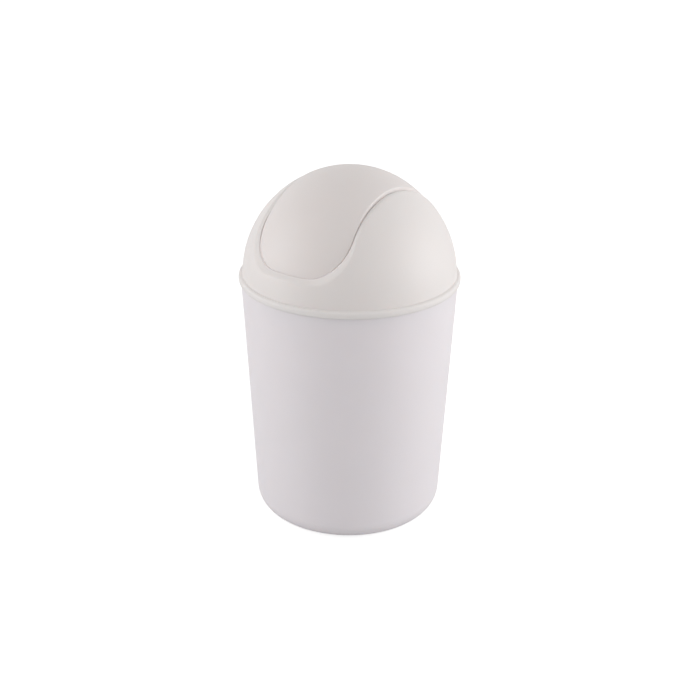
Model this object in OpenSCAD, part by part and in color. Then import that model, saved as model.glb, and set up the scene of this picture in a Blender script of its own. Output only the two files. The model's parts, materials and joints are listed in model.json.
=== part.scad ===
// Countertop trash can with a domed hood and a two-way swing flap.
// Millimetres, +Z up, origin at the centre of the base on the worktop.
// The flap swings about an axis parallel to X. Its two tongues face -Y and +Y.

/* [Bin body] */
// Outside radius of the body wall where it meets the worktop, before the corner is rounded
base_radius = 55; // [48:0.5:58]
// Outside radius of the body wall at its rim
rim_radius = 63.6; // [62.5:0.1:64]
// Height of the body rim above the worktop
rim_height = 148.8; // [140:0.1:160]
// Radius of the rounded corner between wall and base
base_corner = 13; // [8:0.5:16]
// Wall thickness of the body
body_wall = 2.2; // [1.6:0.1:2.6]
// Thickness of the body floor above the resting ring
floor_thickness = 3; // [2.4:0.1:4]
// Radius of the recess under the floor, inside the resting ring
recess_radius = 36; // [25:0.5:39]
// Depth of the recess under the floor
recess_depth = 1; // [0.4:0.1:1.4]

/* [Hood] */
// Outside radius of the domed hood
dome_radius = 62.7; // [61.5:0.1:63.5]
// Height of the dome centre above the body rim
dome_rise = 1.1; // [0.8:0.1:2]
// Wall thickness of the hood
hood_wall = 2.6; // [2.2:0.1:3]
// Radius of the half-round bead at the foot of the hood
bead_radius = 2.3; // [1.8:0.1:2.8]
// Depth of the inner skirt that goes down into the body
skirt_depth = 9; // [5:0.5:16]
// Wall thickness of the inner skirt
skirt_wall = 1.6; // [1.2:0.1:2]

/* [Flap opening] */
// Distance of the opening's side edges from the dome centre, along the leaning side normal
side_offset = 37.2; // [36.5:0.1:38.5]
// Lean of the side edges from the vertical, in degrees
side_lean = 6.8; // [5:0.1:7.5]
// Height of the lower edge of the opening above the dome centre
sill_height = 13.6; // [11:0.1:14.5]
// Corner radius of the opening, seen from the front
corner_radius = 17.4; // [16:0.1:19]
// Depth of the slanted edge along the sills
bevel_depth = 2.4; // [2.2:0.1:2.5]
// Depth of the slanted edge beside the ears
ear_depth = 1.2; // [1:0.1:1.6]
// Width of the slanted edge beside the ears
bevel_side = 2.2; // [1.8:0.1:2.6]
// Height of the slanted edge above each sill
bevel_sill = 2.2; // [2:0.1:3]
// Corner radius of the slanted edge's inner side
lip_corner = 18.8; // [18:0.1:19]

/* [Swing flap] */
// Height of the flap's crown above the hood's sphere
crown_proud = 0.8; // [0:0.1:1]
// Height of the centre of the flap's own curve above the dome centre
flap_centre = 5; // [4:0.1:5.5]
// Wall thickness of the flap
flap_wall = 1.8; // [1.5:0.1:2.2]
// Gap between the side edges of flap and hood
side_gap = 0.45; // [0.4:0.05:1.2]
// Amount by which each tongue hangs behind the sill
sill_lap = 0.3; // [-1:0.05:0.4]
// Corner radius of the tongues
tongue_corner = 19.8; // [19.5:0.1:21]
// Width of the turned-in edge that runs round the flap
edge_band = 2.2; // [1.5:0.1:4]
// Depth of the turned-in edge below the flap's outer face
edge_depth = 2.6; // [2.2:0.1:2.8]

/* [Pivot] */
// Height of the pivot axis above the dome centre
pivot_height = 46.5; // [46:0.1:47.5]
// Radius of the pivot pins moulded on the flap
pin_radius = 1.8; // [1.5:0.1:2]
// Radial clearance between a pin and its hole
pin_clearance = 0.1; // [0.05:0.01:0.1]
// Amount by which the snap-in slot below each pin hole is narrower than the pin
slot_snap = 0.3; // [0.1:0.05:0.5]

/* [Fits] */
// Gap between the body rim and the roof of the hood's channel
seat_gap = 0.05; // [0.03:0.01:0.15]
// Gap beside the body rim inside the channel
channel_gap = 0.3; // [0.2:0.05:0.5]

/* [Hidden] */
$fn = 180;
body_color = [0.86, 0.85, 0.85];
hood_color = [0.88, 0.87, 0.87];
flap_color = [0.9, 0.89, 0.89];
dome_z = rim_height + dome_rise;
roof_z = rim_height + seat_gap;
bead_z = rim_height - 0.3;
big = 200;
// Body wall line from the base to the rim
wall_slope = atan2(rim_radius - base_radius, rim_height);
corner_x = base_radius + base_corner * sin(wall_slope) / cos(wall_slope) - base_corner / cos(wall_slope);
inner_corner = base_corner - body_wall;
sill_lip_radius = dome_radius - bevel_depth;
ear_lip_radius = dome_radius - ear_depth;
inner_side = side_offset - bevel_side;
inner_sill = sill_height + bevel_sill;
// Steps of the opening outline in each quarter
sill_steps = 6;
corner_steps = 12;
ear_steps = 14;
// Flap curve and outline
flap_radius = dome_radius + crown_proud - flap_centre;
flap_side = inner_side - side_gap;
flap_bottom = inner_sill - sill_lap;
tongue_z = flap_bottom + tongue_corner;
tongue_x = (flap_side - tongue_corner - tongue_z * sin(side_lean)) / cos(side_lean);
top_z = dome_radius + 10;
// Pivot parts along X
cheek_wall = 1.8;
ear_ring = sqrt(ear_lip_radius * ear_lip_radius - inner_side * inner_side);
ear_x = inner_side * cos(side_lean) - ear_ring * sin(side_lean);
cheek_out = ear_x - side_gap - 0.8;
web_in = (inner_side - pivot_height * sin(side_lean)) / cos(side_lean) + 1.2;
web_wall = 1.8;
pin_end = web_in + web_wall + 1.6;
cheek_radius = 5;
web_radius = 5.4;
slot_width = 2 * pin_radius - slot_snap;

// Point of the front half of a sphere of radius r, above x and z of the front view
function on_front(r, x, z) = [x, -sqrt(r * r - x * x - z * z), z];

// One quarter of an opening outline: half the front sill, a corner, half an ear edge.
// It lies at radius low along the sill and rises to radius high in the corner and along the ear.
function opening_quarter(low, high, side, sill, corner) =
    let(
        cz = sill + corner,
        cx = (side - corner - cz * sin(side_lean)) / cos(side_lean),
        touch = on_front(high, cx + corner * cos(side_lean), cz + corner * sin(side_lean)),
        up = [-sin(side_lean), 0, cos(side_lean)],
        out = [cos(side_lean), 0, sin(side_lean)],
        start = atan2(touch * up, -touch[1]),
        ring = sqrt(high * high - side * side)
    )
    concat(
        [for (i = [0:sill_steps - 1]) on_front(low, cx * i / sill_steps, sill)],
        [
            for (i = [0:corner_steps - 1])
                let(a = -90 + (90 + side_lean) * i / corner_steps, r = low + (high - low) * i / corner_steps)
                on_front(r, cx + corner * cos(a), cz + corner * sin(a))
        ],
        [
            for (i = [0:ear_steps])
                let(a = start + (90 - start) * i / ear_steps)
                out * side + up * (ring * sin(a)) - [0, ring * cos(a), 0]
        ]
    );

// Whole outline, from the middle of the front sill round by the right-hand ear
function opening_loop(low, high, side, sill, corner) =
    let(q = opening_quarter(low, high, side, sill, corner), last = len(q) - 1)
    concat(
        q,
        [for (i = [last - 1:-1:0]) [q[i][0], -q[i][1], q[i][2]]],
        [for (i = [1:last]) [-q[i][0], -q[i][1], q[i][2]]],
        [for (i = [last - 1:-1:1]) [-q[i][0], q[i][1], q[i][2]]]
    );

module body_outer_2d() {
    union() {
        polygon([
            [0, 0],
            [corner_x, 0],
            [corner_x, base_corner],
            [corner_x + base_corner * cos(wall_slope), base_corner - base_corner * sin(wall_slope)],
            [rim_radius, rim_height],
            [0, rim_height]
        ]);
        translate([corner_x, base_corner])
            circle(r = base_corner);
    }
}

module body_inner_2d() {
    slope_in = body_wall / cos(wall_slope);
    union() {
        polygon([
            [0, floor_thickness],
            [corner_x, floor_thickness],
            [corner_x, floor_thickness + inner_corner],
            [
                corner_x + inner_corner * cos(wall_slope),
                floor_thickness + inner_corner - inner_corner * sin(wall_slope)
            ],
            [rim_radius - slope_in, rim_height],
            [rim_radius - slope_in, rim_height + 5],
            [0, rim_height + 5]
        ]);
        translate([corner_x, floor_thickness + inner_corner])
            circle(r = inner_corner);
    }
}

// Tapered round body with a rounded base corner and a resting ring
module bin_body() {
    color(body_color)
        difference() {
            rotate_extrude()
                intersection() {
                    body_outer_2d();
                    square([big, rim_height]);
                }
            rotate_extrude()
                intersection() {
                    body_inner_2d();
                    square([big, rim_height + 5]);
                }
            translate([0, 0, -1])
                cylinder(r = recess_radius - recess_depth, h = 1 + recess_depth);
            translate([0, 0, -0.01])
                cylinder(r1 = recess_radius, r2 = recess_radius - recess_depth, h = recess_depth);
        }
}

// Plug with the shape of the opening: straight through the lip, then along the slanted edge
module opening_plug() {
    deep_radius = dome_radius - hood_wall - 0.3;
    deep = opening_loop(deep_radius, deep_radius, inner_side, inner_sill, lip_corner);
    lip = opening_loop(sill_lip_radius, ear_lip_radius, inner_side, inner_sill, lip_corner);
    edge = opening_loop(dome_radius, dome_radius, side_offset, sill_height, corner_radius);
    count = len(lip);
    outer = [for (k = [0:count - 1]) edge[k] + (edge[k] - lip[k]) * 0.8];
    loops = [deep, lip, outer];
    polyhedron(
        points = concat([[0, 0, 0], [0, 0, big]], deep, lip, outer),
        faces = concat(
            [for (k = [0:count - 1]) [0, 2 + k, 2 + (k + 1) % count]],
            [
                for (l = [0:len(loops) - 2])
                    for (k = [0:count - 1])
                        let(a = 2 + l * count, b = a + count)
                        [a + k, b + k, b + (k + 1) % count]
            ],
            [
                for (l = [0:len(loops) - 2])
                    for (k = [0:count - 1])
                        let(a = 2 + l * count, b = a + count)
                        [a + k, b + (k + 1) % count, a + (k + 1) % count]
            ],
            [for (k = [0:count - 1]) [1, 2 + 2 * count + (k + 1) % count, 2 + 2 * count + k]]
        )
    );
}

module hood_dome() {
    difference() {
        intersection() {
            difference() {
                sphere(r = dome_radius);
                sphere(r = dome_radius - hood_wall);
            }
            translate([-big, -big, roof_z - dome_z])
                cube([2 * big, 2 * big, big]);
        }
        opening_plug();
    }
}

// Half-round bead, channel for the body rim and inner skirt
module hood_collar_2d() {
    channel_out = rim_radius + channel_gap;
    skirt_top = rim_radius - body_wall / cos(wall_slope) - channel_gap;
    skirt_low = skirt_top - skirt_depth * tan(wall_slope) - 0.2;
    dome_in = dome_radius - hood_wall;
    difference() {
        translate([dome_radius, bead_z])
            circle(r = bead_radius);
        translate([dome_radius - 10, bead_z - 10])
            square([channel_out - dome_radius + 10, roof_z - bead_z + 10]);
    }
    polygon([
        [skirt_low - skirt_wall, roof_z - skirt_depth],
        [skirt_low, roof_z - skirt_depth],
        [skirt_top, roof_z],
        [dome_radius, roof_z],
        [dome_radius, dome_z],
        [dome_in, dome_z],
        [skirt_top - skirt_wall, roof_z]
    ]);
}

// Hanging web inside one ear, with the pin hole and its snap-in slot
module hood_web() {
    intersection() {
        translate([web_in, 0, 0])
            rotate([90, 0, 90])
                linear_extrude(height = web_wall)
                    difference() {
                        union() {
                            translate([0, pivot_height])
                                circle(r = web_radius);
                            translate([-web_radius, pivot_height])
                                square([2 * web_radius, 20]);
                        }
                        translate([0, pivot_height])
                            circle(r = pin_radius + pin_clearance);
                        translate([-slot_width / 2, pivot_height - 20])
                            square([slot_width, 20]);
                    }
        sphere(r = dome_radius - hood_wall / 2);
    }
}

module lid_hood() {
    color(hood_color)
        union() {
            translate([0, 0, dome_z]) {
                hood_dome();
                for (m = [0, 1])
                    mirror([m, 0, 0])
                        hood_web();
            }
            rotate_extrude()
                hood_collar_2d();
        }
}

// Right-hand half of the front view of the flap, or of what lies inside its turned-in edge
function flap_half(inset) =
    let(corner = tongue_corner - inset)
    concat(
        [
            for (i = [0:corner_steps])
                let(a = -90 + (90 + side_lean) * i / corner_steps)
                [tongue_x + corner * cos(a), tongue_z + corner * sin(a)]
        ],
        [[(flap_side - inset - top_z * sin(side_lean)) / cos(side_lean), top_z]]
    );

module flap_outline_2d(inset) {
    half = flap_half(inset);
    last = len(half) - 1;
    polygon(concat(half, [for (i = [last:-1:0]) [-half[i][0], half[i][1]]]));
}

module flap_prism(inset) {
    rotate([90, 0, 0])
        translate([0, 0, -big / 2])
            linear_extrude(height = big)
                flap_outline_2d(inset);
}

// One cheek under the flap with its outward pin
module flap_pivot() {
    intersection() {
        translate([cheek_out - cheek_wall, 0, 0])
            rotate([90, 0, 90])
                linear_extrude(height = cheek_wall)
                    union() {
                        translate([0, pivot_height])
                            circle(r = cheek_radius);
                        translate([-cheek_radius, pivot_height])
                            square([2 * cheek_radius, 20]);
                    }
        translate([0, 0, flap_centre])
            sphere(r = flap_radius - flap_wall / 2);
    }
    translate([0, 0, pivot_height])
        rotate([0, 90, 0])
            rotate_extrude()
                polygon([
                    [0, cheek_out - cheek_wall / 2],
                    [pin_radius, cheek_out - cheek_wall / 2],
                    [pin_radius, pin_end - 0.5],
                    [pin_radius - 0.5, pin_end],
                    [0, pin_end]
                ]);
}

module swing_flap() {
    color(flap_color)
        translate([0, 0, dome_z])
            union() {
                intersection() {
                    difference() {
                        translate([0, 0, flap_centre])
                            sphere(r = flap_radius);
                        intersection() {
                            translate([0, 0, flap_centre])
                                sphere(r = flap_radius - flap_wall);
                            flap_prism(edge_band);
                        }
                        translate([0, 0, flap_centre])
                            sphere(r = flap_radius - edge_depth);
                    }
                    flap_prism(0);
                }
                for (m = [0, 1])
                    mirror([m, 0, 0])
                        flap_pivot();
            }
}

bin_body();
lid_hood();
swing_flap();
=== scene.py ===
"""Countertop trash can with a domed hood and a two-way swing flap.

The body, hood and flap are moulded in white polypropylene. Each is rebuilt over its solid with the rounded
edges that a moulding has. Positions are metres in the part's own frame: +Z up, origin at the centre of the
base, tongues of the flap towards -Y and +Y.
"""
import json
import math

import bmesh
import bpy
from bpy.props import FloatProperty, FloatVectorProperty, IntProperty, PointerProperty
from mathutils import Euler, Matrix, Vector


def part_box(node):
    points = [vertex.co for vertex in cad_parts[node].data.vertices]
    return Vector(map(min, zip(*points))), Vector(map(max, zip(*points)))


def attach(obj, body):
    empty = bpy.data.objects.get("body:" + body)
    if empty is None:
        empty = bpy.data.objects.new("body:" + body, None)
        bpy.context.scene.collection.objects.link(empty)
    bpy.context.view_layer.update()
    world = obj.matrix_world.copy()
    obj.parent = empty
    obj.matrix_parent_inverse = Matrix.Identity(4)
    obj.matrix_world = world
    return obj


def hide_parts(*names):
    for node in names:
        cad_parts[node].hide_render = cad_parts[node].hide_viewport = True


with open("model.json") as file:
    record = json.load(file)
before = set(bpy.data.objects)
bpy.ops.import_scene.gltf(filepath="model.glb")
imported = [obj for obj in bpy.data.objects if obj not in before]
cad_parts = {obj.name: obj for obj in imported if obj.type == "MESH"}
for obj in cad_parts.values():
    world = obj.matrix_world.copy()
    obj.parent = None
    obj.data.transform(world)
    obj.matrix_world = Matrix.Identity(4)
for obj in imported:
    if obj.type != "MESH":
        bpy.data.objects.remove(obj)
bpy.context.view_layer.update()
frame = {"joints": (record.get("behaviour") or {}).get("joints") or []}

bl_info = {
    "name": "Countertop Trash Can",
    "version": (1, 0, 0),
    "blender": (4, 5, 0),
    "location": "3D View > Sidebar > Trash Can",
    "description": "Builds a white swing-lid trash can, its finish and a studio stage",
    "category": "Object",
}

MM = 0.001
BODY_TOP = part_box("bin_body")[1]
RIM_RADIUS = BODY_TOP.x
RIM_HEIGHT = BODY_TOP.z
FLAP_JOINT = next(joint for joint in frame["joints"] if joint["name"] == "flap_swing")
PIVOT_HEIGHT = FLAP_JOINT["pos_m"][2]

# Steps along a quarter of the opening's outline: half a sill, a corner and half an ear.
SILL_STEPS = 10
CORNER_STEPS = 18
EAR_STEPS = 40

# Rings between the opening and the hood's foot, outside and inside, and across half of the flap.
DOME_RINGS = 26
LINING_RINGS = 16
FLAP_RINGS = 20

# Powers that pack the hood's rings towards the opening, and the flap's towards its edge.
HOOD_BIAS = 1.3
FLAP_BIAS = 1.5

# Steps of the rounded edges, arcs and pins.
SLANT_EDGE_STEPS = 6
LIP_EDGE_STEPS = 4
FLAP_EDGE_STEPS = 5
FLAP_BAND_STEPS = 4
BEAD_STEPS = 26
HOLLOW_STEPS = 6
BODY_CORNER_STEPS = 12
WEB_STEPS = 12
HOLE_STEPS = 28
CHEEK_STEPS = 24
PIN_STEPS = 40

# Share of the way to the next ring that shows which way a surface leaves a rounded edge.
NUDGE = 0.02

# Largest share of the lip's thickness that the rounding of one of its edges takes.
LIP_SHARE = 0.45


def length(name, description, default):
    """Length property in metres, kept in the scene's own unit."""
    return FloatProperty(
        name=name, description=description, default=default, unit="LENGTH", precision=5
    )


def colour(name, description, hex_code):
    """Colour property whose default is a linear colour made from an sRGB hex code."""
    return FloatVectorProperty(
        name=name,
        description=description,
        default=linear(hex_code),
        subtype="COLOR",
        size=3,
        min=0,
        max=1,
    )


def linear(hex_code):
    """Linear red, green and blue of an sRGB hex code."""
    values = [int(hex_code[i:i + 2], 16) / 255 for i in (1, 3, 5)]
    return [v / 12.92 if v <= 0.04045 else ((v + 0.055) / 1.055) ** 2.4 for v in values]


class BodySizes(bpy.types.PropertyGroup):
    """Sizes of the tapered body."""

    base_radius: length("Base radius", "Outside radius of the wall at the worktop", 55 * MM)
    base_corner: length("Base corner", "Radius of the corner between wall and base", 13 * MM)
    wall: length("Wall", "Wall thickness", 2.2 * MM)
    floor: length("Floor", "Height of the inside floor above the worktop", 3 * MM)
    recess_radius: length("Recess radius", "Radius of the recess inside the resting ring", 36 * MM)
    recess_depth: length("Recess depth", "Depth of the recess under the floor", 1 * MM)
    ring_round: length("Ring rounding", "Rounding of the resting ring's two inner edges", 0.4 * MM)
    rim_round: length("Rim rounding", "Rounding of the rim's two edges", 0.8 * MM)
    steps: IntProperty(name="Steps", description="Steps round the body", default=240, min=24)


class HoodSizes(bpy.types.PropertyGroup):
    """Sizes of the domed hood and of its opening."""

    dome_radius: length("Dome radius", "Outside radius of the dome", 62.7 * MM)
    dome_rise: length("Dome rise", "Height of the dome centre above the body's rim", 1.1 * MM)
    wall: length("Wall", "Wall thickness", 2.6 * MM)
    bead_radius: length("Bead radius", "Radius of the half-round bead", 2.3 * MM)
    bead_drop: length("Bead drop", "Height of the rim above the bead's centre", 0.3 * MM)
    bead_fillet: length("Bead fillet", "Hollow rounding between dome and bead", 0.5 * MM)
    bead_fullness: FloatProperty(
        name="Bead fullness", description="Fullness of the bead's shoulders, 2 for a plain arc", default=2.8
    )
    channel_gap: length("Channel gap", "Gap beside the body's rim in the channel", 0.3 * MM)
    seat_gap: length("Seat gap", "Gap between the rim and the channel's roof", 0.05 * MM)
    skirt_depth: length("Skirt depth", "Depth of the inner skirt", 9 * MM)
    skirt_wall: length("Skirt wall", "Wall thickness of the inner skirt", 1.6 * MM)
    skirt_draft: length("Skirt draft", "How far the skirt draws in besides the body's slope", 0.2 * MM)
    skirt_bevel: length("Skirt bevel", "Width of the bevels at the skirt's foot", 0.3 * MM)
    skirt_lead: length("Skirt lead", "Height of the bevels at the skirt's foot", 0.4 * MM)
    side_offset: length("Side offset", "Distance of the opening's sides from the dome centre", 37.2 * MM)
    side_lean: FloatProperty(
        name="Side lean",
        description="Lean of the opening's sides from the vertical",
        default=math.radians(6.8),
        subtype="ANGLE",
    )
    sill_height: length("Sill height", "Height of the sill above the dome centre", 13.6 * MM)
    corner_radius: length("Corner radius", "Corner radius of the opening", 17.4 * MM)
    bevel_depth: length("Slant depth at the sills", "Depth of the slanted edge along the sills", 2.4 * MM)
    ear_depth: length("Slant depth at the ears", "Depth of the slanted edge beside the ears", 1.2 * MM)
    bevel_side: length("Slant at the ears", "Width of the slanted edge beside the ears", 2.2 * MM)
    bevel_sill: length("Slant at the sills", "Height of the slanted edge above each sill", 2.2 * MM)
    lip_corner: length("Lip corner", "Corner radius of the slanted edge's inner side", 18.8 * MM)
    edge_round: length("Edge rounding", "Reach of the rounding along the slant's outer edge", 1.0 * MM)
    lip_round: length("Lip rounding", "Reach of the rounding along the slant's inner edge", 0.4 * MM)


class FlapSizes(bpy.types.PropertyGroup):
    """Sizes of the swing flap and its pivot."""

    crown_proud: length("Crown height", "Height of the crown above the hood's sphere", 0.8 * MM)
    centre: length("Curve centre", "Height of the flap's curve centre above the dome centre", 5 * MM)
    wall: length("Wall", "Wall thickness", 1.8 * MM)
    side_gap: length("Side gap", "Gap between the side edges of flap and hood", 0.45 * MM)
    sill_lap: length("Sill lap", "Amount by which a tongue hangs behind the sill", 0.3 * MM)
    tongue_corner: length("Tongue corner", "Corner radius of the tongues", 19.8 * MM)
    edge_band: length("Edge band", "Width of the turned-in edge round the flap", 2.2 * MM)
    edge_depth: length("Edge depth", "Depth of the turned-in edge below the outer face", 2.6 * MM)
    edge_round: length("Edge rounding", "Reach of the rounding along the flap's edges", 0.4 * MM)
    pin_radius: length("Pin radius", "Radius of the pivot pins", 1.8 * MM)
    pin_clearance: length("Pin clearance", "Radial clearance of a pin in its hole", 0.1 * MM)
    slot_snap: length("Slot snap", "How much narrower than the pin the slot is", 0.3 * MM)
    pin_chamfer: length("Pin chamfer", "Chamfer at the end of a pin", 0.5 * MM)
    pin_reach: length("Pin reach", "How far a pin stands out of its web", 1.6 * MM)
    cheek_wall: length("Cheek wall", "Thickness of the cheeks and webs", 1.8 * MM)
    cheek_radius: length("Cheek radius", "Radius of a cheek round its pin", 5 * MM)
    cheek_inset: length("Cheek inset", "Distance of a cheek from the flap's side edge at the top", 0.8 * MM)
    cheek_top: length("Cheek top", "Height above the dome centre where a cheek ends in the flap", 55.2 * MM)
    cheek_round: length("Cheek rounding", "Softening of a cheek's edges", 0.25 * MM)
    web_radius: length("Web radius", "Radius of a web round its pin hole", 5.4 * MM)
    web_gap: length("Web gap", "Distance of a web behind the opening's side at the axis", 1.2 * MM)
    web_top: length("Web top", "Height above the dome centre where a web ends in the hood", 52.4 * MM)
    web_round: length("Web rounding", "Softening of a web's edges", 0.2 * MM)


class PlasticLook(bpy.types.PropertyGroup):
    """Colour and finish of the moulded polypropylene."""

    body_colour: colour("Body colour", "Colour of the body", "#EAE5E8")
    hood_colour: colour("Hood colour", "Colour of the hood", "#EAE5E3")
    flap_colour: colour("Flap colour", "Colour of the flap", "#E7E1DF")
    roughness: FloatProperty(
        name="Roughness", description="Roughness of the satin finish", default=0.5, min=0, max=1
    )
    milkiness: FloatProperty(
        name="Milkiness",
        description="Share of the light that spreads inside the wall",
        default=0.3,
        min=0,
        max=1,
    )
    spread: length("Spread", "How far light spreads inside the milky plastic", 2 * MM)
    grain: length("Grain", "Size of the fine eroded grain of the mould", 0.45 * MM)
    grain_depth: length("Grain depth", "Depth of the mould's grain", 0.02 * MM)
    clouding: length("Clouding", "Size of the faint clouds of tone in the plastic", 28 * MM)
    cloud_dark: FloatProperty(name="Cloud dark", description="Tone of the darkest clouds", default=0.985)
    cloud_light: FloatProperty(name="Cloud light", description="Tone of the lightest clouds", default=1.012)


class StageSizes(bpy.types.PropertyGroup):
    """Camera, lamps and floor."""

    azimuth: FloatProperty(
        name="Azimuth",
        description="Direction of the camera round the bin, from -Y towards +X",
        default=math.radians(36.5),
        subtype="ANGLE",
    )
    elevation: FloatProperty(
        name="Elevation",
        description="Height of the camera as an angle",
        default=math.radians(23.29),
        subtype="ANGLE",
    )
    roll: FloatProperty(
        name="Roll",
        description="Turn of the camera about its view",
        default=math.radians(0.46),
        subtype="ANGLE",
    )
    distance: length("Distance", "Distance from the camera to its target", 0.9)
    target_height: length("Target height", "Height of the point that the camera looks at", 0.105)
    lens: FloatProperty(name="Lens", description="Focal length in millimetres", default=77.46)
    lens_right: FloatProperty(
        name="Lens right",
        description="Shift of the lens to the right, as a share of the picture",
        default=0.00133,
    )
    lens_up: FloatProperty(
        name="Lens up",
        description="Shift of the lens upwards, as a share of the picture",
        default=-0.00999,
    )
    floor_size: length("Floor size", "Side of the square floor", 12.0)
    floor_drop: length("Floor drop", "Depth of the floor below the base", 0.1 * MM)
    floor_colour: colour("Floor colour", "Colour of the floor", "#E4E4E4")
    floor_glow: FloatProperty(
        name="Floor glow", description="Glow that makes the floor look white to the camera", default=0.78
    )
    sky_level: FloatProperty(name="Sky level", description="Strength of the even light", default=0.62)
    lamp_turn: FloatProperty(
        name="Lamp turn",
        description="Angle between the camera and each side lamp, seen from above",
        default=math.radians(85),
        subtype="ANGLE",
    )
    lamp_rise: FloatProperty(
        name="Lamp rise",
        description="Height of the side lamps as an angle",
        default=math.radians(9),
        subtype="ANGLE",
    )
    lamp_distance: length("Lamp distance", "Distance of the side lamps from the camera's target", 1.6)
    lamp_size: length("Lamp size", "Side of a square lamp", 1.2)
    right_power: FloatProperty(name="Right power", description="Power of the right lamp", default=13.8)
    left_power: FloatProperty(name="Left power", description="Power of the left lamp", default=10.9)
    inner_power: FloatProperty(
        name="Inner power", description="Power of the weak lamp inside the bin", default=0.06
    )
    inner_radius: length("Inner radius", "Radius of the lamp inside the bin", 35 * MM)
    inner_height: length("Inner height", "Height of the lamp inside the bin above the rim", 10 * MM)


def add_node(tree, kind, settings=None, links=None):
    """Adds a node, sets its properties or inputs by name, and links its inputs to other sockets."""
    node = tree.nodes.new(kind)
    for key, value in (settings or {}).items():
        if key in node.inputs:
            node.inputs[key].default_value = value
        else:
            setattr(node, key, value)
    for key, socket in (links or {}).items():
        tree.links.new(socket, node.inputs[key])
    return node


def moulded_polypropylene(name, base, look):
    """White polypropylene, injection moulded in a finely eroded mould.

    The plastic is milky, so light spreads a little inside the wall. The mould's grain gives a satin surface,
    and slow flow in the mould leaves faint clouds of tone.
    """
    material = bpy.data.materials.new(name)
    material.use_nodes = True
    tree = material.node_tree
    tree.nodes.clear()
    place = add_node(tree, "ShaderNodeTexCoord").outputs["Object"]
    clouds = add_node(
        tree,
        "ShaderNodeTexNoise",
        {"Scale": 1 / look.clouding, "Detail": 2.0, "Roughness": 0.5},
        {"Vector": place},
    )
    tone = add_node(
        tree,
        "ShaderNodeMix",
        {"data_type": "RGBA", "blend_type": "MIX"},
        {"Factor": clouds.outputs["Fac"]},
    )
    tone.inputs["A"].default_value = [look.cloud_dark * v for v in base] + [1]
    tone.inputs["B"].default_value = [min(1, look.cloud_light * v) for v in base] + [1]
    grain = add_node(
        tree,
        "ShaderNodeTexNoise",
        {"Scale": 1 / look.grain, "Detail": 3.0, "Roughness": 0.55},
        {"Vector": place},
    )
    gloss = add_node(
        tree,
        "ShaderNodeMapRange",
        {"To Min": look.roughness - 0.04, "To Max": look.roughness + 0.05},
        {"Value": clouds.outputs["Fac"]},
    )
    bump = add_node(
        tree,
        "ShaderNodeBump",
        {"Strength": 0.25, "Distance": look.grain_depth},
        {"Height": grain.outputs["Fac"]},
    )
    shader = add_node(
        tree,
        "ShaderNodeBsdfPrincipled",
        {
            "IOR": 1.49,
            "Subsurface Weight": look.milkiness,
            "Subsurface Radius": (1.0, 0.9, 0.82),
            "Subsurface Scale": look.spread,
        },
        {
            "Base Color": tone.outputs["Result"],
            "Roughness": gloss.outputs["Result"],
            "Normal": bump.outputs["Normal"],
        },
    )
    add_node(tree, "ShaderNodeOutputMaterial", links={"Surface": shader.outputs["BSDF"]})
    return material


def finish_piece(bm, name, node, body, material, smooth_angle=math.radians(35)):
    """Turns a bmesh into the piece that stands for a node, with smooth shading and its material."""
    bmesh.ops.remove_doubles(bm, verts=bm.verts, dist=0.002 * MM)
    bmesh.ops.dissolve_degenerate(bm, edges=bm.edges, dist=0.001 * MM)
    bmesh.ops.recalc_face_normals(bm, faces=bm.faces)
    mesh = bpy.data.meshes.new(name)
    bm.to_mesh(mesh)
    bm.free()
    mesh.shade_smooth()
    mesh.set_sharp_from_angle(angle=smooth_angle)
    mesh.materials.append(material)
    piece = bpy.data.objects.new(name, mesh)
    bpy.context.scene.collection.objects.link(piece)
    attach(piece, body)
    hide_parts(node)
    return piece


def arc(centre, radius, start, end, steps):
    """Points of an arc in a section, as (distance from the axis, height). Angles are in degrees."""
    turns = [math.radians(start + (end - start) * i / steps) for i in range(steps + 1)]
    return [(centre[0] + radius * math.cos(a), centre[1] + radius * math.sin(a)) for a in turns]


def rounded_section(corners, steps):
    """Section line through (distance, height, rounding) corners, with an arc in each rounded corner."""
    points = []
    for i, (x, z, rounding) in enumerate(corners):
        here = Vector((x, z))
        if rounding == 0:
            points.append((x, z))
            continue
        back = (Vector(corners[i - 1][:2]) - here).normalized()
        ahead = (Vector(corners[i + 1][:2]) - here).normalized()
        half = back.angle(ahead) / 2
        centre = here + (back + ahead).normalized() * (rounding / math.sin(half))
        first = (here + back * (rounding / math.tan(half))) - centre
        last = (here + ahead * (rounding / math.tan(half))) - centre
        for k in range(steps + 1):
            turn = first.slerp(last, k / steps)
            points.append(tuple(centre + turn.normalized() * rounding))
    return points


def blended(before, corner, after, steps):
    """Points of a soft corner that leaves one side at before and meets the other at after."""
    points = []
    for k in range(steps + 1):
        t = k / steps
        points.append(before * (1 - t) ** 2 + corner * (2 * t * (1 - t)) + after * t ** 2)
    return points


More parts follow.
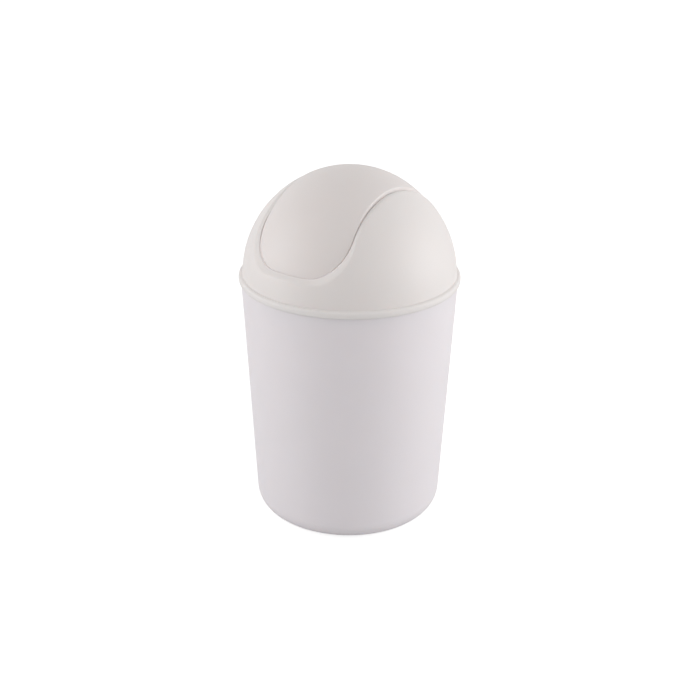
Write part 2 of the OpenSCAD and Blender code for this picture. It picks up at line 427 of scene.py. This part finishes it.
def opening_outline(low, high, side, sill, corner, lean):
    """Closed outline about the origin, from the middle of the front sill round by the +X ear.

    Seen from the front, it has a level sill, round corners and sides that lean in. It runs over the top and
    comes down to the back sill in the same way. It lies at radius low along the sills, rises in the corners,
    and lies at radius high along the ears.
    """
    def on_front(radius, x, z):
        """Point of a sphere's front half that is seen at a place from the front."""
        return Vector((x, -math.sqrt(radius * radius - x * x - z * z), z))

    corner_z = sill + corner
    corner_x = (side - corner - corner_z * math.sin(lean)) / math.cos(lean)
    outwards = Vector((math.cos(lean), 0, math.sin(lean)))
    upwards = Vector((-math.sin(lean), 0, math.cos(lean)))
    touch = on_front(high, corner_x + corner * math.cos(lean), corner_z + corner * math.sin(lean))
    start = math.atan2(touch.dot(upwards), -touch.y)
    ring = math.sqrt(high * high - side * side)
    quarter = [on_front(low, corner_x * i / SILL_STEPS, sill) for i in range(SILL_STEPS)]
    for i in range(CORNER_STEPS):
        share = i / CORNER_STEPS
        turn = -math.pi / 2 + (math.pi / 2 + lean) * share
        radius = low + (high - low) * share
        x = corner_x + corner * math.cos(turn)
        quarter.append(on_front(radius, x, corner_z + corner * math.sin(turn)))
    for i in range(EAR_STEPS + 1):
        turn = start + (math.pi / 2 - start) * i / EAR_STEPS
        forwards = Vector((0, ring * math.cos(turn), 0))
        quarter.append(outwards * side + upwards * (ring * math.sin(turn)) - forwards)
    back = [Vector((p.x, -p.y, p.z)) for p in quarter[-2::-1]]
    half = quarter + back
    return half + [Vector((-p.x, p.y, p.z)) for p in half[-2:0:-1]]


def ring_mesh(bm, rows, closed):
    """Grid bent into a tube of closed rings of points, whose last ring joins the first if closed."""
    across = len(rows[0])
    along = len(rows) if closed else len(rows) - 1
    made = bmesh.ops.create_grid(bm, x_segments=across, y_segments=along, size=1)
    for vert in made["verts"]:
        column = round((vert.co.x + 1) / 2 * across) % across
        row = round((vert.co.y + 1) / 2 * along) % len(rows)
        vert.co = rows[row][column]


def lifted(points, height):
    """The same points, moved up."""
    return [p + Vector((0, 0, height)) for p in points]


def rings_between(first, last, radius, shares):
    """Rings on a sphere at the origin, at the given shares of the way from one ring to another."""
    return [
        [a.normalized().slerp(b.normalized(), s) * radius for a, b in zip(first, last)]
        for s in shares
    ]


def eased(count, bias):
    """Shares from 0 to 1, packed towards 0 by a bias above 1."""
    return [(i / count) ** bias for i in range(count + 1)]


def section_rings(section, turns):
    """Level rings for each (distance, height) of a section, with a point at each turn round the axis."""
    return [[Vector((r * math.sin(a), -r * math.cos(a), z)) for a in turns] for r, z in section]


def dome_centre():
    """Height of the dome's centre above the worktop."""
    return RIM_HEIGHT + bpy.context.scene.hood_sizes.dome_rise


def hood_outlines():
    """Outer and inner outline of the slanted edge, and the lip's end inside, about the dome's centre."""
    sizes = bpy.context.scene.hood_sizes
    lean = sizes.side_lean
    dome = sizes.dome_radius
    inside = dome - sizes.wall
    lip_side = sizes.side_offset - sizes.bevel_side
    lip_sill = sizes.sill_height + sizes.bevel_sill
    outer = opening_outline(dome, dome, sizes.side_offset, sizes.sill_height, sizes.corner_radius, lean)
    lip = (lip_side, lip_sill, sizes.lip_corner, lean)
    inner = opening_outline(dome - sizes.bevel_depth, dome - sizes.ear_depth, *lip)
    deep = opening_outline(inside, inside, *lip)
    return outer, inner, deep


def full_round(radius, start, end, fullness, steps):
    """Half-round profile with full shoulders, from above at distance start to below at distance end."""
    first = math.acos((start / radius) ** (fullness / 2))
    last = -math.acos((end / radius) ** (fullness / 2))
    points = []
    for i in range(steps + 1):
        turn = first + (last - first) * i / steps
        x = math.cos(turn) ** (2 / fullness)
        z = abs(math.sin(turn)) ** (2 / fullness)
        points.append((radius * x, math.copysign(radius * z, turn)))
    return points


def collar_section():
    """Section of the hood's foot: hollow rounding, bead, channel for the rim, skirt, and back to the dome."""
    body = bpy.context.scene.body_sizes
    sizes = bpy.context.scene.hood_sizes
    bead_z = RIM_HEIGHT - sizes.bead_drop
    roof_z = RIM_HEIGHT + sizes.seat_gap
    slope = math.atan2(RIM_RADIUS - body.base_radius, RIM_HEIGHT)
    channel_out = RIM_RADIUS + sizes.channel_gap
    skirt_top = RIM_RADIUS - body.wall / math.cos(slope) - sizes.channel_gap
    skirt_low = skirt_top - sizes.skirt_depth * math.tan(slope) - sizes.skirt_draft
    skirt_foot = roof_z - sizes.skirt_depth
    bead_end = channel_out - sizes.dome_radius
    bead = full_round(sizes.bead_radius, sizes.bead_fillet, bead_end, sizes.bead_fullness, BEAD_STEPS)
    bead = [(sizes.dome_radius + x, bead_z + z) for x, z in bead]
    wall_foot = Vector((sizes.dome_radius, bead[0][1] + sizes.bead_fillet))
    hollow = blended(wall_foot, Vector((sizes.dome_radius, bead[0][1])), Vector(bead[0]), HOLLOW_STEPS)
    hollow = [tuple(p) for p in hollow]
    inside = [
        (channel_out, (bead[-1][1] + roof_z) / 2),
        (channel_out, roof_z),
        (skirt_top, roof_z),
        (skirt_low, skirt_foot + sizes.skirt_lead),
        (skirt_low - sizes.skirt_bevel, skirt_foot),
        (skirt_low - sizes.skirt_wall + sizes.skirt_bevel, skirt_foot),
        (skirt_low - sizes.skirt_wall, skirt_foot + sizes.skirt_lead),
        (skirt_top - sizes.skirt_wall, roof_z),
    ]
    return hollow + bead[1:] + inside


def hood_shell(bm):
    """Dome with its opening, slanted edge, bead, channel and skirt, as one closed run of rings."""
    sizes = bpy.context.scene.hood_sizes
    centre = dome_centre()
    outer, inner, deep_lip = hood_outlines()
    turns = [math.atan2(p.x, -p.y) for p in outer]
    section = collar_section()
    foot = lifted(section_rings([section[0]], turns)[0], -centre)
    inner_radius = sizes.dome_radius - sizes.wall
    inner_foot = [Vector((inner_radius * math.sin(a), -inner_radius * math.cos(a), 0)) for a in turns]
    edge, lip, under = [], [], []
    for out, low, hidden, down, deep in zip(outer, inner, deep_lip, foot, inner_foot):
        slant = (low - out).normalized()
        away = out.normalized().slerp(down.normalized(), NUDGE) * sizes.dome_radius - out
        back = hidden.normalized().slerp(deep.normalized(), NUDGE) * inner_radius - hidden
        reach = min(sizes.lip_round, LIP_SHARE * (hidden - low).length)
        through = (hidden - low).normalized() * reach
        before = out + away.normalized() * sizes.edge_round
        edge.append(blended(before, out, out + slant * sizes.edge_round, SLANT_EDGE_STEPS))
        lip.append(
            blended(low - slant * sizes.lip_round, low, low + through, LIP_EDGE_STEPS)
            + blended(hidden - through, hidden, hidden + back.normalized() * reach, LIP_EDGE_STEPS)
        )
        under.append(hidden + back.normalized() * sizes.lip_round * 2)
    first = [e[0] for e in edge]
    dome = rings_between(first, foot, sizes.dome_radius, eased(DOME_RINGS, HOOD_BIAS))[:-1]
    inside = rings_between(under, inner_foot, inner_radius, eased(LINING_RINGS, HOOD_BIAS))
    rows = [lifted(r, centre) for r in reversed(dome)]
    rows += [lifted([e[k] for e in edge], centre) for k in range(1, len(edge[0]))]
    rows += [lifted([e[k] for e in lip], centre) for k in range(len(lip[0]))]
    rows += [lifted(r, centre) for r in inside]
    rows += section_rings(reversed(section), turns)
    ring_mesh(bm, rows, closed=True)


def web_outline():
    """Outline of a web in the YZ plane: round foot, straight sides, pin hole and open snap-in slot."""
    flap = bpy.context.scene.flap_sizes
    hole = flap.pin_radius + flap.pin_clearance
    slot = flap.pin_radius - flap.slot_snap / 2
    top = dome_centre() + flap.web_top
    low = math.degrees(math.asin(slot / flap.web_radius))
    neck = math.degrees(math.acos(slot / hole))
    axis = (0, PIVOT_HEIGHT)
    points = arc(axis, flap.web_radius, -90 + low, 0, WEB_STEPS)
    points += [(flap.web_radius, top), (-flap.web_radius, top)]
    points += arc(axis, flap.web_radius, 180, 270 - low, WEB_STEPS)
    points += arc(axis, hole, 180 + neck, -neck, HOLE_STEPS)
    return points


def cheek_outline():
    """Outline of a cheek in the YZ plane: half round below the pin and straight up into the flap."""
    flap = bpy.context.scene.flap_sizes
    top = dome_centre() + flap.cheek_top
    points = arc((0, PIVOT_HEIGHT), flap.cheek_radius, 180, 360, CHEEK_STEPS)
    return points + [(flap.cheek_radius, top), (-flap.cheek_radius, top)]


def plate(bm, outline, start, thickness, round_edge):
    """Flat plate across X from an outline in the YZ plane, with softened edges."""
    verts = [bm.verts.new((start, y, z)) for y, z in outline]
    face = bm.faces.new(verts)
    made = bmesh.ops.extrude_face_region(bm, geom=[face])
    moved = [g for g in made["geom"] if isinstance(g, bmesh.types.BMVert)]
    bmesh.ops.translate(bm, verts=moved, vec=(thickness, 0, 0))
    faces = {f for v in verts + moved for f in v.link_faces}
    bmesh.ops.recalc_face_normals(bm, faces=list(faces))
    # Only the plate's two flat sides have more than four corners.
    rims = [e for f in faces if len(f.verts) > 4 for e in f.edges]
    bmesh.ops.bevel(
        bm,
        geom=list(set(rims)),
        offset=round_edge,
        offset_type="OFFSET",
        affect="EDGES",
        segments=2,
        profile=0.5,
        material=-1,
    )


def side_places():
    """Distances from the middle, along X: outer face of a cheek, inner face of a web, and end of a pin."""
    hood = bpy.context.scene.hood_sizes
    flap = bpy.context.scene.flap_sizes
    height = PIVOT_HEIGHT - dome_centre()
    inner_side = hood.side_offset - hood.bevel_side
    ear_ring = math.sqrt((hood.dome_radius - hood.ear_depth) ** 2 - inner_side ** 2)
    ear = inner_side * math.cos(hood.side_lean) - ear_ring * math.sin(hood.side_lean)
    cheek = ear - flap.side_gap - flap.cheek_inset
    web = (inner_side - height * math.sin(hood.side_lean)) / math.cos(hood.side_lean) + flap.web_gap
    return cheek, web, web + flap.cheek_wall + flap.pin_reach


def pivot_pin(bm, sign):
    """Round pin along X with a chamfered end, from the middle of a cheek outwards."""
    flap = bpy.context.scene.flap_sizes
    cheek, _, end = side_places()
    stations = [
        (cheek - flap.cheek_wall / 2, flap.pin_radius),
        (end - flap.pin_chamfer, flap.pin_radius),
        (end, flap.pin_radius - flap.pin_chamfer),
    ]
    made = bmesh.ops.create_circle(bm, cap_ends=False, segments=PIN_STEPS, radius=flap.pin_radius)
    ring = made["verts"]
    across = Matrix.Rotation(math.pi / 2, 4, "Y")
    bmesh.ops.transform(bm, matrix=across, verts=ring)
    bmesh.ops.translate(bm, verts=ring, vec=(sign * stations[0][0], 0, PIVOT_HEIGHT))
    edges = list({e for v in ring for e in v.link_edges})
    bmesh.ops.holes_fill(bm, edges=edges, sides=0)
    for (x, radius), (was_x, was_radius) in zip(stations[1:], stations):
        grown = bmesh.ops.extrude_edge_only(bm, edges=edges)["geom"]
        ring = [g for g in grown if isinstance(g, bmesh.types.BMVert)]
        edges = [g for g in grown if isinstance(g, bmesh.types.BMEdge)]
        axis_place = Matrix.Translation((0, 0, -PIVOT_HEIGHT))
        bmesh.ops.translate(bm, verts=ring, vec=(sign * (x - was_x), 0, 0))
        shrink = radius / was_radius
        bmesh.ops.scale(bm, verts=ring, vec=(1, shrink, shrink), space=axis_place)
    bmesh.ops.holes_fill(bm, edges=edges, sides=0)


def flap_outline(inset, radius):
    """Outline of the flap, drawn in by an inset, on a sphere about the centre of the flap's curve."""
    hood = bpy.context.scene.hood_sizes
    sizes = bpy.context.scene.flap_sizes
    lean = hood.side_lean
    side = hood.side_offset - hood.bevel_side - sizes.side_gap - inset - sizes.centre * math.sin(lean)
    sill = hood.sill_height + hood.bevel_sill - sizes.sill_lap + inset - sizes.centre
    return opening_outline(radius, radius, side, sill, sizes.tongue_corner - inset, lean)


def flap_shell(bm):
    """Band-shaped shell of the flap: outer face, rounded edge, turned-in edge all round, inner face."""
    hood = bpy.context.scene.hood_sizes
    sizes = bpy.context.scene.flap_sizes
    centre = dome_centre() + sizes.centre
    radius = hood.dome_radius + sizes.crown_proud - sizes.centre
    inner_radius = radius - sizes.wall
    band_radius = radius - sizes.edge_depth
    reach = sizes.edge_round
    outer = flap_outline(0, radius)
    brim = flap_outline(0, band_radius)
    band = flap_outline(sizes.edge_band, band_radius)
    root = flap_outline(sizes.edge_band, inner_radius)
    # The spine runs over the flap's middle and stops a corner's width short of each tongue's end.
    end_turn = math.asin(outer[0].z / radius) + sizes.tongue_corner / radius
    spine, tracks = [], []
    for out, low, back, up in zip(outer, brim, band, root):
        turn = math.atan2(out.z, -out.y)
        turn = min(math.pi - end_turn, max(end_turn, turn))
        rib = Vector((0, -math.cos(turn), math.sin(turn)))
        spine.append(rib)
        along = (out.normalized().slerp(rib, NUDGE) * radius - out).normalized()
        inwards = (up.normalized().slerp(rib, NUDGE) * inner_radius - up).normalized()
        wall = (low - out).normalized()
        under = (back - low).normalized()
        rise = (up - back).normalized()
        track = blended(out + along * reach, out, out + wall * reach, FLAP_EDGE_STEPS)
        track += blended(low - wall * reach, low, low + under * reach, FLAP_BAND_STEPS)
        track += blended(back - under * reach, back, back + rise * reach, FLAP_BAND_STEPS)
        track += blended(up - rise * reach, up, up + inwards * reach, FLAP_BAND_STEPS)
        tracks.append(track)
    shares = eased(FLAP_RINGS, FLAP_BIAS)
    face = rings_between([t[0] for t in tracks], spine, radius, shares)
    ceiling = rings_between([t[-1] for t in tracks], spine, inner_radius, shares)
    rows = [lifted(r, centre) for r in reversed(face)]
    rows += [lifted([t[k] for t in tracks], centre) for k in range(1, len(tracks[0]))]
    rows += [lifted(r, centre) for r in ceiling[1:]]
    ring_mesh(bm, rows, closed=False)


class MakeBody(bpy.types.Operator):
    """Tapered body, spun from its section, with rounded rim, base corner and resting ring"""

    bl_idname = "trash_can.make_body"
    bl_label = "Make Body"

    def execute(self, context):
        sizes = context.scene.body_sizes
        look = context.scene.plastic_look
        slope = math.atan2(RIM_RADIUS - sizes.base_radius, RIM_HEIGHT)
        rim_inside = RIM_RADIUS - sizes.wall / math.cos(slope)
        floor_inside = rim_inside - (RIM_HEIGHT - sizes.floor) * math.tan(slope)
        section = rounded_section([
            (0, sizes.recess_depth, 0),
            (sizes.recess_radius - sizes.recess_depth, sizes.recess_depth, sizes.ring_round),
            (sizes.recess_radius, 0, sizes.ring_round),
            (sizes.base_radius, 0, sizes.base_corner),
            (RIM_RADIUS, RIM_HEIGHT, sizes.rim_round),
            (rim_inside, RIM_HEIGHT, sizes.rim_round),
            (floor_inside, sizes.floor, sizes.base_corner - sizes.wall),
            (0, sizes.floor, 0),
        ], BODY_CORNER_STEPS)
        bm = bmesh.new()
        verts = [bm.verts.new((0, -r, z)) for r, z in section]
        edges = [bm.edges.new(pair) for pair in zip(verts, verts[1:])]
        bmesh.ops.spin(
            bm,
            geom=verts + edges,
            cent=(0, 0, 0),
            axis=(0, 0, 1),
            angle=2 * math.pi,
            steps=sizes.steps,
            use_merge=True,
        )
        material = moulded_polypropylene("Body polypropylene", look.body_colour, look)
        finish_piece(bm, "moulded_body", "bin_body", "bin", material)
        return {"FINISHED"}


class MakeHood(bpy.types.Operator):
    """Domed hood with its opening, slanted edge, bead, skirt and the two pin webs"""

    bl_idname = "trash_can.make_hood"
    bl_label = "Make Hood"

    def execute(self, context):
        look = context.scene.plastic_look
        flap = context.scene.flap_sizes
        bm = bmesh.new()
        hood_shell(bm)
        _, web, _ = side_places()
        plate(bm, web_outline(), web, flap.cheek_wall, flap.web_round)
        plate(bm, web_outline(), -web, -flap.cheek_wall, flap.web_round)
        material = moulded_polypropylene("Hood polypropylene", look.hood_colour, look)
        finish_piece(bm, "moulded_hood", "lid_hood", "lid", material)
        return {"FINISHED"}


class MakeFlap(bpy.types.Operator):
    """Swing flap with rounded tongues, cheeks and pins"""

    bl_idname = "trash_can.make_flap"
    bl_label = "Make Flap"

    def execute(self, context):
        look = context.scene.plastic_look
        flap = context.scene.flap_sizes
        bm = bmesh.new()
        flap_shell(bm)
        cheek, _, _ = side_places()
        plate(bm, cheek_outline(), cheek - flap.cheek_wall, flap.cheek_wall, flap.cheek_round)
        plate(bm, cheek_outline(), flap.cheek_wall - cheek, -flap.cheek_wall, flap.cheek_round)
        pivot_pin(bm, 1)
        pivot_pin(bm, -1)
        material = moulded_polypropylene("Flap polypropylene", look.flap_colour, look)
        finish_piece(bm, "moulded_flap", "swing_flap", "flap", material)
        return {"FINISHED"}


def way_to(azimuth, elevation):
    """Direction from the bin at an azimuth, from -Y towards +X, and an elevation."""
    level = math.cos(elevation)
    return Vector((math.sin(azimuth) * level, -math.cos(azimuth) * level, math.sin(elevation)))


def seen_white(tree, level):
    """Background shader that is white where it is seen or mirrored, and gives even light elsewhere."""
    path = add_node(tree, "ShaderNodeLightPath")
    seen = path.outputs["Is Camera Ray"]
    for name in ("Is Glossy Ray", "Is Transmission Ray"):
        seen = add_node(
            tree, "ShaderNodeMath", {"operation": "MAXIMUM"}, {0: seen, 1: path.outputs[name]}
        ).outputs[0]
    even = add_node(tree, "ShaderNodeBackground", {"Color": (1, 1, 1, 1), "Strength": level})
    white = add_node(tree, "ShaderNodeBackground", {"Color": (1, 1, 1, 1), "Strength": 1.0})
    return add_node(
        tree,
        "ShaderNodeMixShader",
        links={"Fac": seen, 1: even.outputs[0], 2: white.outputs[0]},
    )


def add_side_lamp(stage, name, turn, power, aim):
    """Soft square lamp at a turn from the camera round the aim point, facing it."""
    data = bpy.data.lights.new(name, "AREA")
    data.shape = "SQUARE"
    data.size = stage.lamp_size
    data.energy = power
    lamp = bpy.data.objects.new(name, data)
    bpy.context.scene.collection.objects.link(lamp)
    way = way_to(stage.azimuth + turn, stage.lamp_rise)
    lamp.location = aim + way * stage.lamp_distance
    lamp.rotation_euler = way.to_track_quat("Z", "Y").to_euler()
    lamp.visible_camera = False


class MakeStage(bpy.types.Operator):
    """Pale floor, white surroundings, two side lamps, a weak lamp inside and the camera"""

    bl_idname = "trash_can.make_stage"
    bl_label = "Make Stage"

    def execute(self, context):
        scene = context.scene
        stage = scene.stage_sizes
        aim = Vector((0, 0, stage.target_height))
        self.make_floor(stage)
        world = bpy.data.worlds.new("Studio")
        world.use_nodes = True
        world.node_tree.nodes.clear()
        surround = seen_white(world.node_tree, stage.sky_level)
        add_node(world.node_tree, "ShaderNodeOutputWorld", links={"Surface": surround.outputs[0]})
        scene.world = world
        add_side_lamp(stage, "Right lamp", stage.lamp_turn, stage.right_power, aim)
        add_side_lamp(stage, "Left lamp", -stage.lamp_turn, stage.left_power, aim)
        self.make_inner_lamp(stage)
        self.make_camera(scene, stage, aim)
        scene.view_settings.view_transform = "Standard"
        return {"FINISHED"}

    def make_inner_lamp(self, stage):
        """Weak soft lamp inside the bin, which keeps the gap round the flap as pale as in the photograph."""
        data = bpy.data.lights.new("Inner lamp", "POINT")
        data.shadow_soft_size = stage.inner_radius
        data.energy = stage.inner_power
        lamp = bpy.data.objects.new("Inner lamp", data)
        bpy.context.scene.collection.objects.link(lamp)
        lamp.location = (0, 0, RIM_HEIGHT + stage.inner_height)
        lamp.visible_camera = False

    def make_floor(self, stage):
        """Large floor that the camera sees as white and that keeps the bin's soft shadow."""
        bm = bmesh.new()
        bmesh.ops.create_grid(bm, x_segments=1, y_segments=1, size=stage.floor_size / 2)
        bmesh.ops.translate(bm, verts=bm.verts, vec=(0, 0, -stage.floor_drop))
        mesh = bpy.data.meshes.new("studio_floor")
        bm.to_mesh(mesh)
        bm.free()
        floor = bpy.data.objects.new("studio_floor", mesh)
        bpy.context.scene.collection.objects.link(floor)
        material = bpy.data.materials.new("Floor paper")
        material.use_nodes = True
        tree = material.node_tree
        tree.nodes.clear()
        path = add_node(tree, "ShaderNodeLightPath")
        paper = add_node(tree, "ShaderNodeBsdfDiffuse", {"Color": [*stage.floor_colour, 1]})
        seen = add_node(tree, "ShaderNodeBsdfDiffuse", {"Color": (0.5, 0.5, 0.5, 1)})
        glow = add_node(tree, "ShaderNodeEmission", {"Color": (1, 1, 1, 1), "Strength": stage.floor_glow})
        shown = add_node(tree, "ShaderNodeAddShader", links={0: seen.outputs[0], 1: glow.outputs[0]})
        mixed = add_node(
            tree,
            "ShaderNodeMixShader",
            links={"Fac": path.outputs["Is Camera Ray"], 1: paper.outputs[0], 2: shown.outputs[0]},
        )
        add_node(tree, "ShaderNodeOutputMaterial", links={"Surface": mixed.outputs[0]})
        mesh.materials.append(material)

    def make_camera(self, scene, stage, aim):
        """Camera at the photograph's viewing angle."""
        data = bpy.data.cameras.new("Camera")
        data.lens = stage.lens
        data.sensor_width = 36
        data.shift_x = stage.lens_right
        data.shift_y = stage.lens_up
        data.clip_start = 0.01
        data.clip_end = 50
        camera = bpy.data.objects.new("Camera", data)
        scene.collection.objects.link(camera)
        way = way_to(stage.azimuth, stage.elevation)
        camera.location = aim + way * stage.distance
        turned = way.to_track_quat("Z", "Y") @ Euler((0, 0, stage.roll)).to_quaternion()
        camera.rotation_euler = turned.to_euler()
        scene.camera = camera


class TrashCanPanel(bpy.types.Panel):
    """Lists the steps that make the trash can"""

    bl_idname = "VIEW3D_PT_trash_can"
    bl_label = "Trash Can"
    bl_space_type = "VIEW_3D"
    bl_region_type = "UI"
    bl_category = "Trash Can"

    def draw(self, context):
        for step in STEPS:
            self.layout.operator(step.bl_idname)


STEPS = (MakeBody, MakeHood, MakeFlap, MakeStage)
GROUPS = {
    "body_sizes": BodySizes,
    "hood_sizes": HoodSizes,
    "flap_sizes": FlapSizes,
    "plastic_look": PlasticLook,
    "stage_sizes": StageSizes,
}


def register():
    """Registers the sizes, the steps and the panel, and hangs the sizes on the scene."""
    for group in GROUPS.values():
        bpy.utils.register_class(group)
    for step in STEPS:
        bpy.utils.register_class(step)
    bpy.utils.register_class(TrashCanPanel)
    for name, group in GROUPS.items():
        setattr(bpy.types.Scene, name, PointerProperty(type=group))


def unregister():
    """Undoes register."""
    for name in GROUPS:
        delattr(bpy.types.Scene, name)
    bpy.utils.unregister_class(TrashCanPanel)
    for step in reversed(STEPS):
        bpy.utils.unregister_class(step)
    for group in GROUPS.values():
        bpy.utils.unregister_class(group)


def main():
    """Registers the steps, then makes each piece and the stage."""
    register()
    bpy.ops.trash_can.make_body()
    bpy.ops.trash_can.make_hood()
    bpy.ops.trash_can.make_flap()
    bpy.ops.trash_can.make_stage()


if __name__ == "__main__":
    main()
